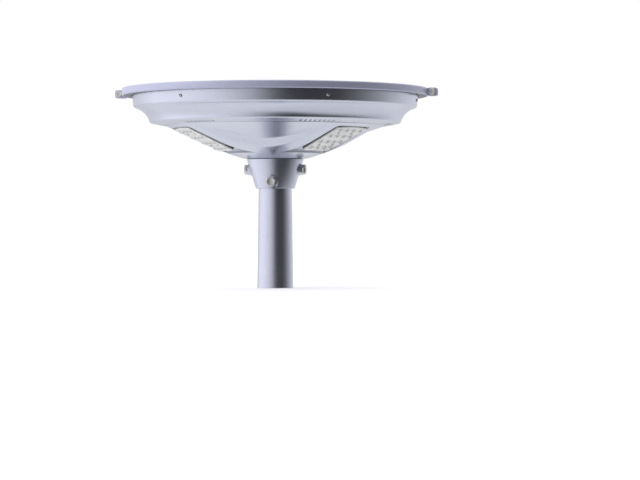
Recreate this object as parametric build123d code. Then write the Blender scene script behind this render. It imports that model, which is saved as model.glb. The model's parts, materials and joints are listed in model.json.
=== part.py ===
from build123d import *
import math
import os

# Round solar street lamp on the top section of its pole. Millimetres, +Z up.
# The origin is on the pole's axis at the foot of the pole section.
# The clamp ring's lugs are on the X axis. The LED modules face down at 90, 210 and 330 degrees.
# In an outline of a turned piece each point is (radius, height).

# Pole section
POLE_TOP_R = 30.15
POLE_FOOT_R = 33.2
POLE_STRAIGHT_Z = 178.0
POLE_TOP_Z = 228.6
POLE_BORE_R = 27.15
FOOT_BORE_R = 30.1
FOOT_BORE_LENGTH = 70.0

# Collar that clamps on the pole
COLLAR_TOP_R = 52.0
COLLAR_TOP_Z = 234.8
COLLAR_LIP_R = 35.3
COLLAR_LIP_Z = 181.5
COLLAR_BORE_R = 32.8
COLLAR_CEILING_Z = 229.0
HUB_SCREW_R = 2.5
HUB_SCREW_CIRCLE_R = 42.0
HUB_SCREW_DEPTH = 14.0
HUB_SCREW_HEAD_R = 4.6
HUB_SCREW_HEAD_T = 5.0
HUB_SCREW_SOCKET_R = 2.0
HUB_SCREW_SOCKET_DEPTH = 2.5
HUB_SCREW_ANGLES = range(30, 390, 60)
GASKET_T = 1.0

# Collar bolts: name, angle, height, distance from the axis to the boss face, boss radius
COLLAR_BOLTS = [
    ("collar_bolt_right", 0, 216.0, 50.3, 10.0),
    ("collar_bolt_left", 180, 216.0, 50.3, 10.0),
    ("collar_bolt_front", 270, 193.4, 43.6, 11.0),
    ("collar_bolt_rear", 90, 193.4, 43.6, 11.0),
]
BOLT_R = 5.0
BOLT_FLATS = 16.0
BOLT_HEAD_T = 6.6
BOLT_TIP = 30.6
BOLT_CROWN_T = 1.6
BOLT_CROWN_CUT = 1.0
RUNNING_GAP = 0.06
SCREW_GAP = 0.1
LOOSE_GAP = 0.3

# Bowl: outer surface from the flange down to the hub
WALL = 2.2
FLANGE_R = 276.5
FLANGE_Z = 352.8
BAND_TOP = (260.7, 350.0)
BAND_FOOT = (259.0, 332.2)
STEP_FOOT = (255.8, 328.4)
COVE_MIDDLE = (240.6, 318.8)
LIP_TOP = (230.2, 304.6)
LIP = (228.6, 301.2)
LEDGE_INNER = (200.0, 295.5)
ARM_KNEE = (100.0, 249.0)
HUB_CONE_FOOT = (60.0, 237.0)
HUB_FLAT = (56.0, 235.8)
HUB_HOLE_R = 20.0
LEDGE_SLOPE = (LIP[1] - LEDGE_INNER[1]) / (LIP[0] - LEDGE_INNER[0])

# Three concave fan panels between the arms
FAN_ANGLES = (270, 30, 150)
FAN_OUTER_R = 197.5
FAN_VERTEX_R = 76.2
FAN_ROUNDING = 200.0
FAN_SLOPE = 0.372
FAN_LOW_R = 70.0

# LED modules: plane of the lens plate's outer face, in the module's own axes
MODULES = (("rear", 90), ("left", 210), ("right", 330))
MODULE_R = 140.0
MODULE_Z = 269.0
MODULE_TILT = math.degrees(math.atan(0.44))
PLATE_INNER = (-50.0, 36.0)
PLATE_OUTER = (43.4, 42.0)
PLATE_CROWN = 48.6
PLATE_T = 3.0
PLATE_SKIN = 1.4
PLATE_RIM = 4.0
BOARD_T = 1.6
BOARD_GAP = 0.2
LED_ROWS = (-36.6, -12.6, 11.4, 35.4)
LED_COLUMNS = (-28.5, -9.5, 9.5, 28.5)
LED_SIDE = 3.5
LED_T = 0.9
DOME_R = 6.5
DOME_H = 2.3
PLATE_SCREWS = ((-24.6, -19.0), (-24.6, 19.0), (23.4, -19.0), (23.4, 19.0))
PLATE_SCREW_R = 1.5
PLATE_SCREW_HEAD_R = 2.7
PLATE_SCREW_HEAD_T = 1.2
PLATE_SCREW_BITE = 6.0
POCKET_GAP = 0.4
POCKET_FLOOR = PLATE_T + BOARD_T
LEAD_HOLE_R = 4.0
RECESS_OUTER_R = 188.0
RECESS_INNER_R = 87.0
RECESS_HALF_WIDTH = 46.5
RECESS_WAIST = (122.0, 45.5)
RECESS_CORNER_ANGLE = 42.5
RECESS_FLARE_BOW = (4.0, 3.2)
RECESS_DEPTH = 3.5

# Vents in the ledge
VENT_ANGLES = range(0, 360, 60)
VENTS_IN_GROUP = 8
VENT_PITCH = 2.4
VENT_RADII = (204.5, 216.5)
VENT_WIDTH = 2.2
SCREEN_T = 0.8
SCREEN_ARC = 21.0
SCREEN_RADII = (202.0, 220.0)
SCREEN_GAP = 0.05

# Band screws and the equipment plate that they hold
BAND_SCREW_ANGLES = range(0, 360, 60)
BAND_SCREW_Z = 340.5
BAND_SCREW_R = 1.75
BAND_SCREW_HEAD_R = 3.2
BAND_SCREW_HEAD_T = 1.6
BAND_SCREW_LENGTH = 12.0
BAND_SCREW_SEAT_GAP = 0.4
CROSS_SLOT = (3.4, 0.8, 1.4)
EQUIPMENT_Z = 330.0
EQUIPMENT_T = 2.0
EQUIPMENT_R = 190.0
EQUIPMENT_HOLE_R = 30.0
EQUIPMENT_ARM_WIDTH = 24.0
TAB_R = 257.0
TAB_T = 2.0
TAB_HEIGHT = 16.0
TAB_GAP = 0.4
FOOT_LENGTH = 8.0
FOOT_HEIGHT = 12.0

# Battery and controller, which hang under the equipment plate
CELL_R = 13.1
CELL_LENGTH = 65.0
CELL_PITCH = 26.8
CELL_COLUMNS = (-2, -1, 0, 1, 2)
BATTERY_SIZE = (139.0, 137.0, 58.0)
BATTERY_SKIN = 2.0
BATTERY_CORNER_R = 4.0
CELL_GAP = 0.4
CELL_END_GAP = 1.0
CONTROLLER_CENTRE = (0.0, -136.0)
CONTROLLER_SIZE = (92.0, 58.0, 27.0)
CONTROLLER_SKIN = 2.0
CONTROLLER_CORNER_R = 5.0
PCB_T = 1.6
PCB_LIFT = 8.0
PCB_MARGIN = 3.0

# Parts on the controller board, from its centre: low corner, high corner and height of each block
COIL = ((-34.0, -18.0), (-14.0, 2.0), 8.4)
CONNECTOR = ((2.0, -20.0), (36.0, -10.0), 7.4)
CAPACITOR_SPOTS = ((4.0, 8.0), (20.0, 8.0))
CAPACITOR_R = 6.0
CAPACITOR_T = 10.9

# Screws that hold the battery and the controller
EQUIPMENT_SCREW_R = 2.0
EQUIPMENT_SCREW_HEAD_T = 2.4
CONTROLLER_SCREW_SPOTS = ((-40.0, -23.0), (-40.0, 23.0), (40.0, -23.0), (40.0, 23.0))
BATTERY_SCREW_INSET = 6.0

# Lid: seal, tray and round solar laminate
SEAL_Z = 355.0
SEAL_T = 1.4
TRAY_Z = SEAL_Z + SEAL_T
TRAY_T = 1.2
TRAY_SKIRT_R = 252.0
TRAY_SKIRT_T = 1.5
TRAY_SKIRT_Z = 347.0
BACKSHEET_T = 0.4
CELL_WAFER_T = 0.3
GLASS_TOP_Z = 360.8
LAMINATE_R = 275.5
WAFER_SIDE = 61.0
WAFER_PITCH = 63.0
WAFERS_ACROSS = 8
WAFER_LIMIT_R = 262.0
GLASS_CHAMFER = 0.6
JUNCTION_BOX = ((-32.0, 60.0), (32.0, 104.0), 16.0)
JUNCTION_CORNER_R = 4.0

# Clamp ring, split at the lugs
RING_R = 280.0
RING_WALL = 2.5
RING_Z = (350.0, 363.6)
RING_LIP_R = 263.2
RING_TOP_LIP_R = 266.0
RING_ROUND = 2.2
RING_SPLIT = 4.5
LUG_X = (278.5, 298.0)
LUG_T = 6.5
LUG_Z = (348.4, 363.4)
LUG_ROUND = 5.0
LUG_BOLT_X = 289.5
LUG_BOLT_Z = 356.0
CLAMP_BOLT_R = 3.0
CLAMP_BOLT_FLATS = 10.0
CLAMP_HEAD_T = 4.0
CLAMP_NUT_T = 5.0
CLAMP_WASHER_R = 6.2
CLAMP_WASHER_T = 1.2
CLAMP_END_Y = 20.0

# Power button on the hub
BUTTON_ANGLE = 108.6
BUTTON_CIRCLE_R = 66.0
BUTTON_R = 4.0
BEZEL_R = 6.5
BEZEL_T = 1.6
BUTTON_PROUD = 3.2
BUTTON_DEPTH = 4.0
BUTTON_ROUND = 0.8
BEZEL_LIFT = 0.3
BARREL_R = 4.8
BARREL_DEPTH = 6.0
BUTTON_HOLE_R = 5.0
SWITCH_R = 5.7
SWITCH_LENGTH = 12.0

FAR = 400.0


def save(name, shape):
    """Writes one named piece."""
    export_step(shape, os.path.join("parts", name + ".step"))


def turned(outline):
    """Solid of revolution about the Z axis from points of (radius, height)."""
    return revolve(make_face(Plane.XZ * Polyline(*outline, close=True)), Axis.Z)


def disc(radius, low, high, hole=0.0):
    """Flat round plate, with a round hole if one is given."""
    solid = Pos(0, 0, (low + high) / 2) * Cylinder(radius, high - low)
    if hole > 0:
        solid -= Pos(0, 0, (low + high) / 2) * Cylinder(hole, high - low + 2)
    return solid


def block(low, high):
    """Box between two opposite corners."""
    size = [h - l for l, h in zip(low, high)]
    middle = [(l + h) / 2 for l, h in zip(low, high)]
    return Pos(*middle) * Box(*size)


def around(shape, angles):
    """Copies of one shape turned about the Z axis."""
    return [Rot(0, 0, angle) * shape for angle in angles]


def arm_height(radius):
    """Height of the bowl's outer surface on an arm, between the hub cone and the ledge."""
    if radius > ARM_KNEE[0]:
        share = (radius - ARM_KNEE[0]) / (LEDGE_INNER[0] - ARM_KNEE[0])
        return ARM_KNEE[1] + share * (LEDGE_INNER[1] - ARM_KNEE[1])
    share = (radius - HUB_CONE_FOOT[0]) / (ARM_KNEE[0] - HUB_CONE_FOOT[0])
    return HUB_CONE_FOOT[1] + share * (ARM_KNEE[1] - HUB_CONE_FOOT[1])


def fan_height(radius):
    """Height of a fan panel's outer surface."""
    return LEDGE_INNER[1] - (LEDGE_INNER[0] - radius) * FAN_SLOPE


def under_arms(rise):
    """Everything below the arms' outer surface raised by rise."""
    surface = [LEDGE_INNER, ARM_KNEE, HUB_CONE_FOOT]
    raised = [(r, z + rise) for r, z in surface]
    return turned(raised + [(HUB_CONE_FOOT[0], 180), (LEDGE_INNER[0], 180)])


def upright(face):
    """Tall prism standing on an outline in the ground plane."""
    return extrude(face, FAR)


def radial(angle, height):
    """Plane at the axis whose normal points outward at this angle."""
    turn = math.radians(angle)
    outward = (math.cos(turn), math.sin(turn), 0)
    return Plane(origin=(0, 0, height), x_dir=(-math.sin(turn), math.cos(turn), 0), z_dir=outward)


def hex_head(flats, thickness):
    """Hexagonal head standing on its plane, with the corners of its outer face turned off."""
    head = extrude(RegularPolygon(flats / 2, 6, major_radius=False), thickness)
    corner_r = flats / math.sqrt(3)
    crown = Cone(corner_r - BOLT_CROWN_CUT + BOLT_CROWN_T, corner_r - BOLT_CROWN_CUT, BOLT_CROWN_T)
    cap = Pos(0, 0, thickness - BOLT_CROWN_T / 2) * crown
    straight = thickness - BOLT_CROWN_T
    body = Pos(0, 0, straight / 2) * Cylinder(corner_r + 1, straight)
    return head & (body + cap)


# Pole and collar

def pole_section():
    outside = [
        (POLE_FOOT_R, 0),
        (POLE_TOP_R, POLE_STRAIGHT_Z),
        (POLE_TOP_R, POLE_TOP_Z),
        (POLE_BORE_R, POLE_TOP_Z),
        (POLE_BORE_R, FOOT_BORE_LENGTH),
        (FOOT_BORE_R, FOOT_BORE_LENGTH),
        (FOOT_BORE_R, 0),
    ]
    return turned(outside)


def pole_collar():
    solid = turned(
        [
            (COLLAR_LIP_R, COLLAR_LIP_Z),
            (COLLAR_TOP_R, COLLAR_TOP_Z),
            (0, COLLAR_TOP_Z),
            (0, COLLAR_CEILING_Z),
            (COLLAR_BORE_R, COLLAR_CEILING_Z),
            (COLLAR_BORE_R, COLLAR_LIP_Z),
        ]
    )
    bore = disc(COLLAR_BORE_R, COLLAR_LIP_Z - 20, COLLAR_CEILING_Z)
    for _, angle, height, face, boss_r in COLLAR_BOLTS:
        solid += radial(angle, height) * (Pos(0, 0, face / 2) * Cylinder(boss_r, face)) - bore
    for _, angle, height, face, _ in COLLAR_BOLTS:
        solid -= radial(angle, height) * (Pos(0, 0, face / 2) * Cylinder(BOLT_R + RUNNING_GAP, face + 2))
    hole = disc(HUB_SCREW_R, COLLAR_TOP_Z - HUB_SCREW_DEPTH, COLLAR_TOP_Z + 1)
    for drill in around(Pos(HUB_SCREW_CIRCLE_R, 0, 0) * hole, HUB_SCREW_ANGLES):
        solid -= drill
    return solid - disc(HUB_HOLE_R, COLLAR_CEILING_Z - 1, COLLAR_TOP_Z + 1)


def collar_bolt(angle, height, face):
    shank = Pos(0, 0, (BOLT_TIP + face) / 2) * Cylinder(BOLT_R, face - BOLT_TIP)
    head = Pos(0, 0, face) * hex_head(BOLT_FLATS, BOLT_HEAD_T)
    return radial(angle, height) * (shank + head)


def collar_gasket():
    ring = disc(COLLAR_TOP_R - 3, COLLAR_TOP_Z, COLLAR_TOP_Z + GASKET_T, HUB_HOLE_R + 3)
    hole = disc(HUB_SCREW_R + LOOSE_GAP, COLLAR_TOP_Z - 1, COLLAR_TOP_Z + GASKET_T + 1)
    for drill in around(Pos(HUB_SCREW_CIRCLE_R, 0, 0) * hole, HUB_SCREW_ANGLES):
        ring -= drill
    return ring


def hub_screws():
    top = HUB_FLAT[1] + WALL
    shank = disc(HUB_SCREW_R, COLLAR_TOP_Z - HUB_SCREW_DEPTH, top)
    head = disc(HUB_SCREW_HEAD_R, top, top + HUB_SCREW_HEAD_T)
    socket = extrude(RegularPolygon(HUB_SCREW_SOCKET_R, 6, major_radius=False), HUB_SCREW_HEAD_T)
    socket = Pos(0, 0, top + HUB_SCREW_HEAD_T - HUB_SCREW_SOCKET_DEPTH) * socket
    screw = Pos(HUB_SCREW_CIRCLE_R, 0, 0) * (shank + head - socket)
    return Compound(children=around(screw, HUB_SCREW_ANGLES))


# Bowl

def bowl_shell():
    flange = Polyline((0, FAR), (FLANGE_R, FAR), (FLANGE_R, FLANGE_Z), (BAND_TOP[0], FLANGE_Z), BAND_TOP)
    band = Polyline(BAND_TOP, BAND_FOOT, STEP_FOOT)
    cove = ThreePointArc(STEP_FOOT, COVE_MIDDLE, LIP_TOP)
    base = Polyline(
        LIP_TOP,
        LIP,
        LEDGE_INNER,
        ARM_KNEE,
        HUB_CONE_FOOT,
        HUB_FLAT,
        (0, HUB_FLAT[1]),
        (0, FAR),
    )
    outside = make_face([*flange.edges(), *band.edges(), cove, *base.edges()])
    inside = offset(outside, amount=-WALL, kind=Kind.INTERSECTION)
    keep = Pos(FAR / 2, 0) * Rectangle(FAR, 2 * (FLANGE_Z + WALL))
    section = (outside - inside) & keep & Pos(FAR / 2 + HUB_HOLE_R, 0) * Rectangle(FAR, 2 * FAR)
    return revolve(Plane.XZ * section, Axis.Z)


def fan_outline(grow):
    """Fan panel in plan: two sides parallel to the arms, a rounded vertex and an arc outside."""
    vertex = (FAN_VERTEX_R - grow / math.sin(math.radians(60)), 0)
    reach = FAR * math.cos(math.radians(60))
    width = FAR * math.sin(math.radians(60))
    far_x = vertex[0] + reach
    wedge = make_face(Polyline(vertex, (far_x, width), (far_x, -width), close=True))
    corner = wedge.vertices().sort_by(Axis.X)[0]
    wedge = fillet(corner, FAN_ROUNDING + grow)
    return wedge & Circle(FAN_OUTER_R + grow * 0.5)


def fan_parts():
    """Prism cut through the arms' shell, and the sunk panel with its side walls that fills it."""
    edge_z = fan_height(LEDGE_INNER[0])
    low_z = fan_height(FAN_LOW_R)
    panel = turned(
        [
            (LEDGE_INNER[0], edge_z),
            (LEDGE_INNER[0], edge_z + WALL),
            (FAN_LOW_R, low_z + WALL),
            (FAN_LOW_R, low_z),
        ]
    )
    between = turned(
        [
            LEDGE_INNER,
            (LEDGE_INNER[0], edge_z + WALL),
            (FAN_LOW_R, low_z + WALL),
            (FAN_LOW_R, arm_height(FAN_LOW_R)),
            ARM_KNEE,
        ]
    )
    inside = upright(fan_outline(0))
    outside = upright(fan_outline(WALL))
    return inside, (panel & inside) + ((outside - inside) & between)


def recess_outline(grow):
    """Recess in plan for a module on the +X axis: parallel sides that flare towards the hub."""
    turn = math.radians(RECESS_CORNER_ANGLE)
    corner_r = RECESS_INNER_R - grow
    corner = (corner_r * math.cos(turn), RECESS_INNER_R * math.sin(turn) + grow)
    half = RECESS_HALF_WIDTH + grow
    outer_r = RECESS_OUTER_R + grow
    outer = (math.sqrt(outer_r**2 - half**2), half)
    waist = (RECESS_WAIST[0], RECESS_WAIST[1] + grow)
    flare_x = (waist[0] + corner[0]) / 2 - RECESS_FLARE_BOW[0]
    flare_y = (waist[1] + corner[1]) / 2 - RECESS_FLARE_BOW[1]
    inner = ThreePointArc((corner[0], -corner[1]), (corner_r, 0), corner)
    flare = ThreePointArc(corner, (flare_x, flare_y), waist)
    side = Line(waist, outer)
    end = ThreePointArc(outer, (outer_r, 0), (outer[0], -outer[1]))
    side_low = Line((outer[0], -outer[1]), (waist[0], -waist[1]))
    flare_low = ThreePointArc((waist[0], -waist[1]), (flare_x, -flare_y), (corner[0], -corner[1]))
    return make_face([inner, flare, side, end, side_low, flare_low])


def module_plane(angle):
    """Plane of the lens plate's outer face: local X runs outward and up, local Z out of the lamp."""
    turn = math.radians(angle)
    tilt = math.radians(MODULE_TILT)
    out = (math.cos(turn), math.sin(turn))
    along = (math.cos(tilt) * out[0], math.cos(tilt) * out[1], math.sin(tilt))
    normal = (math.sin(tilt) * out[0], math.sin(tilt) * out[1], -math.cos(tilt))
    return Plane(origin=(MODULE_R * out[0], MODULE_R * out[1], MODULE_Z), x_dir=along, z_dir=normal)


def plate_outline(grow):
    """Lens plate: straight inner edge, sides that widen outward, and an outer edge with a crown."""
    inner = (PLATE_INNER[0] - grow, PLATE_INNER[1] + grow)
    outer = (PLATE_OUTER[0] + grow, PLATE_OUTER[1] + grow)
    crown = ThreePointArc((outer[0], -outer[1]), (PLATE_CROWN + grow, 0), outer)
    sides = Polyline(outer, (inner[0], inner[1]), (inner[0], -inner[1]), (outer[0], -outer[1]))
    return make_face([crown, *sides.edges()])


def slab(face, low, high):
    """Prism on an outline between two heights of its own plane."""
    return extrude(Pos(0, 0, low) * face, high - low)


def recess_parts(angle):
    """Space cut for one module, and the walls that back it."""
    turn = Rot(0, 0, angle)
    plane = module_plane(angle)
    space = (turn * upright(recess_outline(0))) & under_arms(RECESS_DEPTH)
    space += plane * slab(plate_outline(POCKET_GAP), -POCKET_FLOOR, 12)
    backing = (turn * upright(recess_outline(WALL))) & under_arms(RECESS_DEPTH + WALL)
    backing += plane * slab(plate_outline(POCKET_GAP + WALL), -POCKET_FLOOR - WALL, 2)
    space += plane * slab(Circle(LEAD_HOLE_R), -20, 0)
    for u, v in PLATE_SCREWS:
        space += plane * slab(Pos(u, v) * Circle(PLATE_SCREW_R + SCREW_GAP), -20, 0)
    return space, backing - under_arms(0)


def vent_slots():
    """The six groups of slots in the ledge, as tall blocks to cut with."""
    low, high = LEDGE_INNER[1] - 10, LEDGE_INNER[1] + 15
    half = VENT_WIDTH / 2
    slot = block((VENT_RADII[0], -half, low), (VENT_RADII[1], half, high))
    first = -VENT_PITCH * (VENTS_IN_GROUP - 1) / 2
    slots = []
    for middle in VENT_ANGLES:
        slots += around(slot, [middle + first + VENT_PITCH * i for i in range(VENTS_IN_GROUP)])
    return slots


def housing_bowl():
    solid = bowl_shell()
    opening, panel = fan_parts()
    for angle in FAN_ANGLES:
        solid = solid - Rot(0, 0, angle) * opening + Rot(0, 0, angle) * panel
    for _, angle in MODULES:
        space, backing = recess_parts(angle)
        solid = solid + backing - space
    solid -= vent_slots()
    band_hole = radial(0, BAND_SCREW_Z) * (Pos(0, 0, TAB_R) * Cylinder(BAND_SCREW_R + SCREW_GAP, 30))
    solid -= around(band_hole, BAND_SCREW_ANGLES)
    hub_hole = disc(HUB_SCREW_R + LOOSE_GAP, HUB_FLAT[1] - 2, HUB_FLAT[1] + WALL + 2)
    solid -= around(Pos(HUB_SCREW_CIRCLE_R, 0, 0) * hub_hole, HUB_SCREW_ANGLES)
    solid -= button_plane() * slab(Circle(BUTTON_HOLE_R), -8, 8)
    return solid


def vent_screens():
    """Fine mesh pads laid over the inside of each vent group."""
    rise = WALL / math.cos(math.atan(LEDGE_SLOPE)) + SCREEN_GAP
    low = [(r, LEDGE_INNER[1] + (r - LEDGE_INNER[0]) * LEDGE_SLOPE + rise) for r in SCREEN_RADII]
    high = [(r, z + SCREEN_T) for r, z in reversed(low)]
    face = make_face(Plane.XZ * Polyline(*low, *high, close=True))
    pad = Rot(0, 0, -SCREEN_ARC / 2) * revolve(face, Axis.Z, SCREEN_ARC)
    return Compound(children=around(pad, VENT_ANGLES))


# LED modules

def lens_plate(plane):
    plate = slab(plate_outline(0), -PLATE_T, 0) - slab(plate_outline(-PLATE_RIM), -PLATE_T, -PLATE_SKIN)
    ball_r = (DOME_R**2 + DOME_H**2) / (2 * DOME_H)
    ball = Pos(0, 0, DOME_H - ball_r) * Sphere(ball_r)
    dome = ball & Pos(0, 0, DOME_H / 2) * Box(2 * ball_r, 2 * ball_r, DOME_H + 1)
    plate += [Pos(u, v, 0) * dome for u in LED_ROWS for v in LED_COLUMNS]
    for u, v in PLATE_SCREWS:
        plate -= Pos(u, v, 0) * Cylinder(PLATE_SCREW_R + SCREW_GAP, 10)
    return plane * plate


def lens_gasket(plane):
    frame = slab(plate_outline(-LOOSE_GAP), -POCKET_FLOOR, -PLATE_T)
    opening = slab(plate_outline(-PLATE_RIM + BOARD_GAP), -POCKET_FLOOR - 1, -PLATE_T + 1)
    return plane * (frame - opening)


def led_board(plane):
    board = slab(plate_outline(-PLATE_RIM - BOARD_GAP), -POCKET_FLOOR, -PLATE_T)
    for u, v in PLATE_SCREWS:
        board -= Pos(u, v, -PLATE_T) * Cylinder(PLATE_SCREW_R + SCREW_GAP, 10)
    return plane * board


def led_chips(plane):
    chip = Pos(0, 0, LED_T / 2 - PLATE_T) * Box(LED_SIDE, LED_SIDE, LED_T)
    return plane * Compound(children=[Pos(u, v, 0) * chip for u in LED_ROWS for v in LED_COLUMNS])


def plate_screws():
    shank = slab(Circle(PLATE_SCREW_R), -POCKET_FLOOR - PLATE_SCREW_BITE, 0)
    head = slab(Circle(PLATE_SCREW_HEAD_R), 0, PLATE_SCREW_HEAD_T)
    group = [Pos(u, v, 0) * (shank + head) for u, v in PLATE_SCREWS]
    screws = []
    for _, angle in MODULES:
        plane = module_plane(angle)
        screws += [plane * screw for screw in group]
    return Compound(children=screws)


# Equipment inside the bowl

def band_screws():
    share = (BAND_SCREW_Z - BAND_FOOT[1]) / (BAND_TOP[1] - BAND_FOOT[1])
    wall = BAND_FOOT[0] + share * (BAND_TOP[0] - BAND_FOOT[0])
    seat = wall + BAND_SCREW_SEAT_GAP
    head = slab(Circle(BAND_SCREW_HEAD_R), seat, seat + BAND_SCREW_HEAD_T)
    shank = slab(Circle(BAND_SCREW_R), seat - BAND_SCREW_LENGTH, seat)
    recess = Pos(0, 0, wall + BAND_SCREW_HEAD_T) * Box(*CROSS_SLOT)
    slot = recess + Rot(0, 0, 90) * recess
    screw = radial(0, BAND_SCREW_Z) * (head + shank - slot)
    return Compound(children=around(screw, BAND_SCREW_ANGLES))


def equipment_plate():
    low, high = EQUIPMENT_Z, EQUIPMENT_Z + EQUIPMENT_T
    plate = disc(EQUIPMENT_R, low, high, EQUIPMENT_HOLE_R)
    half = EQUIPMENT_ARM_WIDTH / 2
    foot_end = TAB_R * math.cos(math.asin(half / TAB_R)) - TAB_GAP
    arm_end = foot_end - FOOT_LENGTH + 1
    arm = block((EQUIPMENT_R - 10, -half, low), (arm_end, half, high))
    tab = block((arm_end - TAB_T, -half, low), (arm_end, half, low + TAB_HEIGHT))
    foot_low, foot_high = BAND_SCREW_Z - FOOT_HEIGHT / 2, BAND_SCREW_Z + FOOT_HEIGHT / 2
    foot = block((foot_end - FOOT_LENGTH, -half, foot_low), (foot_end, half, foot_high))
    hole = radial(0, BAND_SCREW_Z) * (Pos(0, 0, TAB_R) * Cylinder(BAND_SCREW_R + SCREW_GAP, 60))
    plate += around(arm + tab + foot - hole, BAND_SCREW_ANGLES)
    return plate


def battery_case():
    width, depth, height = BATTERY_SIZE
    top = EQUIPMENT_Z
    shell = block((-width / 2, -depth / 2, top - height), (width / 2, depth / 2, top))
    shell = fillet(shell.edges().filter_by(Axis.Z), BATTERY_CORNER_R)
    inside = block(
        (-width / 2 + BATTERY_SKIN, -depth / 2 + BATTERY_SKIN, top - height + BATTERY_SKIN),
        (width / 2 - BATTERY_SKIN, depth / 2 - BATTERY_SKIN, top + 1),
    )
    return shell - inside


def battery_cells():
    floor = EQUIPMENT_Z - BATTERY_SIZE[2] + BATTERY_SKIN
    cell = Rot(90, 0, 0) * Cylinder(CELL_R, CELL_LENGTH)
    cells = []
    for layer in (0, 1):
        for column in CELL_COLUMNS:
            for row in (-1, 1):
                height = floor + CELL_R + CELL_GAP + layer * CELL_PITCH
                middle = row * (CELL_LENGTH + CELL_END_GAP) / 2
                cells.append(Pos(column * CELL_PITCH, middle, height) * cell)
    return Compound(children=cells)


def controller_case():
    width, depth, height = CONTROLLER_SIZE
    x, y = CONTROLLER_CENTRE
    top = EQUIPMENT_Z
    skin = CONTROLLER_SKIN
    shell = block((x - width / 2, y - depth / 2, top - height), (x + width / 2, y + depth / 2, top))
    shell = fillet(shell.edges().filter_by(Axis.Z), CONTROLLER_CORNER_R)
    inside = block(
        (x - width / 2 + skin, y - depth / 2 + skin, top - height + skin),
        (x + width / 2 - skin, y + depth / 2 - skin, top + 1),
    )
    return shell - inside


def controller_board():
    width, depth, height = CONTROLLER_SIZE
    x, y = CONTROLLER_CENTRE
    half_width = width / 2 - PCB_MARGIN
    half_depth = depth / 2 - PCB_MARGIN
    board = block((-half_width, -half_depth, -PCB_T), (half_width, half_depth, 0))
    for low, high, tall in (COIL, CONNECTOR):
        board += block((*low, 0), (*high, tall))
    for u, v in CAPACITOR_SPOTS:
        board += Pos(u, v, 0) * disc(CAPACITOR_R, 0, CAPACITOR_T)
    return Pos(x, y, EQUIPMENT_Z - height + PCB_LIFT + PCB_T) * board


def equipment_screws():
    x, y = CONTROLLER_CENTRE
    top = EQUIPMENT_Z + EQUIPMENT_T
    screw = disc(EQUIPMENT_SCREW_R, top, top + EQUIPMENT_SCREW_HEAD_T)
    spots = [(x + u, y + v) for u, v in CONTROLLER_SCREW_SPOTS]
    half_width = BATTERY_SIZE[0] / 2 - BATTERY_SCREW_INSET
    half_depth = BATTERY_SIZE[1] / 2 - BATTERY_SCREW_INSET
    spots += [(u, v) for u in (-half_width, half_width) for v in (-half_depth, half_depth)]
    return Compound(children=[Pos(u, v, 0) * screw for u, v in spots])


# Lid

def lid_seal():
    return disc(LAMINATE_R - 1, SEAL_Z, TRAY_Z, BAND_TOP[0] + 2)


def lid_tray():
    tray = disc(LAMINATE_R, TRAY_Z, TRAY_Z + TRAY_T)
    return tray + disc(TRAY_SKIRT_R, TRAY_SKIRT_Z, TRAY_Z, TRAY_SKIRT_R - TRAY_SKIRT_T)


def solar_backsheet():
    return disc(LAMINATE_R, TRAY_Z + TRAY_T, TRAY_Z + TRAY_T + BACKSHEET_T)


def solar_cells():
    low = TRAY_Z + TRAY_T + BACKSHEET_T
    centres = [WAFER_PITCH * (i - (WAFERS_ACROSS - 1) / 2) for i in range(WAFERS_ACROSS)]
    half = WAFER_SIDE / 2
    wafers = []
    for x in centres:
        for y in centres:
            if math.hypot(abs(x) + half, abs(y) + half) < WAFER_LIMIT_R:
                wafer = block((x - half, y - half, low), (x + half, y + half, low + CELL_WAFER_T))
                wafers.append(wafer)
    return Compound(children=wafers)


def solar_glass():
    low = TRAY_Z + TRAY_T + BACKSHEET_T + CELL_WAFER_T
    glass = disc(LAMINATE_R, low, GLASS_TOP_Z)
    return chamfer(glass.edges().sort_by(Axis.Z)[-1], GLASS_CHAMFER)


def junction_box():
    low, high, tall = JUNCTION_BOX
    box = block((*low, TRAY_Z - tall), (*high, TRAY_Z))
    return fillet(box.edges().filter_by(Axis.Z), JUNCTION_CORNER_R)


# Clamp ring

def ring_half(side):
    """Half of the clamp ring with its two lugs; side is -1 for the front and 1 for the rear."""
    low, high = RING_Z
    channel = turned(
        [
            (RING_LIP_R, low),
            (RING_R - RING_ROUND, low),
            (RING_R, low + RING_ROUND),
            (RING_R, high - RING_ROUND),
            (RING_R - RING_ROUND, high),
            (RING_TOP_LIP_R, high),
            (RING_TOP_LIP_R, high - RING_WALL),
            (RING_R - RING_WALL, high - RING_WALL),
            (RING_R - RING_WALL, low + RING_WALL),
            (RING_LIP_R, low + RING_WALL),
        ]
    )
    near = side * RING_SPLIT / 2
    keep = block((-FAR, min(near, side * FAR), low - 5), (FAR, max(near, side * FAR), high + 5))
    half = channel & keep
    far = side * (RING_SPLIT / 2 + LUG_T)
    lug = block((LUG_X[0], min(near, far), LUG_Z[0]), (LUG_X[1], max(near, far), LUG_Z[1]))
    outer_edges = lug.edges().filter_by(Axis.Y).sort_by(Axis.X)[-2:]
    lug = fillet(outer_edges, LUG_ROUND)
    drill = Rot(90, 0, 0) * Cylinder(CLAMP_BOLT_R + RUNNING_GAP, 60)
    hole = Pos(LUG_BOLT_X, 0, LUG_BOLT_Z) * drill
    half += [lug, mirror(lug, Plane.YZ)]
    return half - [hole, mirror(hole, Plane.YZ)]


def clamp_bolt(x):
    seat = -(RING_SPLIT / 2 + LUG_T + CLAMP_WASHER_T)
    face = Plane(origin=(x, seat, LUG_BOLT_Z), x_dir=(1, 0, 0), z_dir=(0, -1, 0))
    shank = slab(Circle(CLAMP_BOLT_R), -(CLAMP_END_Y - seat), 0)
    return face * (shank + hex_head(CLAMP_BOLT_FLATS, CLAMP_HEAD_T))


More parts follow.
